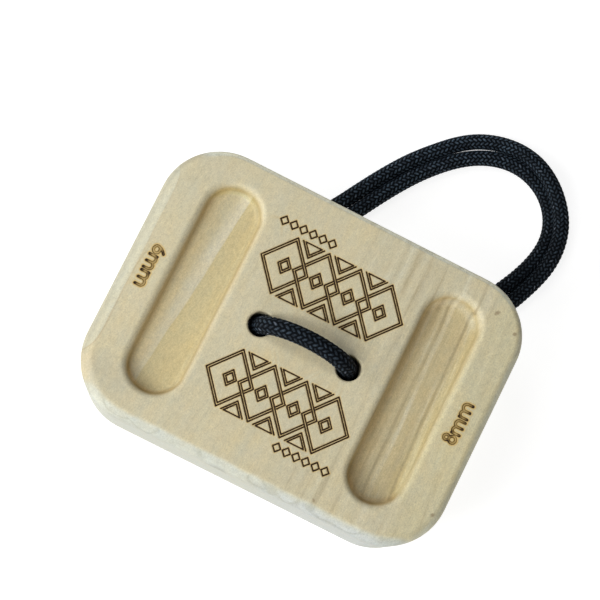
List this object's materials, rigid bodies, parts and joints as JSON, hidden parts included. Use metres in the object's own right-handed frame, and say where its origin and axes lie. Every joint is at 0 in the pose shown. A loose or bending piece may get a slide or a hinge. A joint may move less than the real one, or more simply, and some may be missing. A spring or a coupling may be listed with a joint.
{
  "type": "portable hang block",
  "caption": "Hand-held wooden finger-training block with a shallow finger edge near each short side, hung from one tied loop of braided cord threaded through its middle.",
  "frame": {"origin": "centre of the wood block", "axes": "+X along the block's long side, towards the deeper finger edge; +Y towards the side that the carrying loop leaves; +Z out of the front face, the one with the finger edges and the lettering"},
  "size_m": [0.1633, 0.1886, 0.0762],
  "materials": {
    "wood": "fine-sanded, unfinished",
    "cord": "tightly braided, slightly glossy yarns"
  },
  "bodies": {
    "block": {"wood_block": "wood", "cord_stitch": "cord", "cord_left_leg": "cord", "cord_right_leg": "cord", "cord_cross": "cord", "cord_knot": "cord"},
    "loop": {"loop_strand_inner": "cord", "loop_strand_outer": "cord"}
  },
  "joints": [
    {"name": "loop_swing", "type": "hinge", "parent": "block", "child": "loop", "pos_m": [0, 0.066, -0.0288], "axis": [1, 0, 0], "range_deg": [0, 90]}
  ]
}
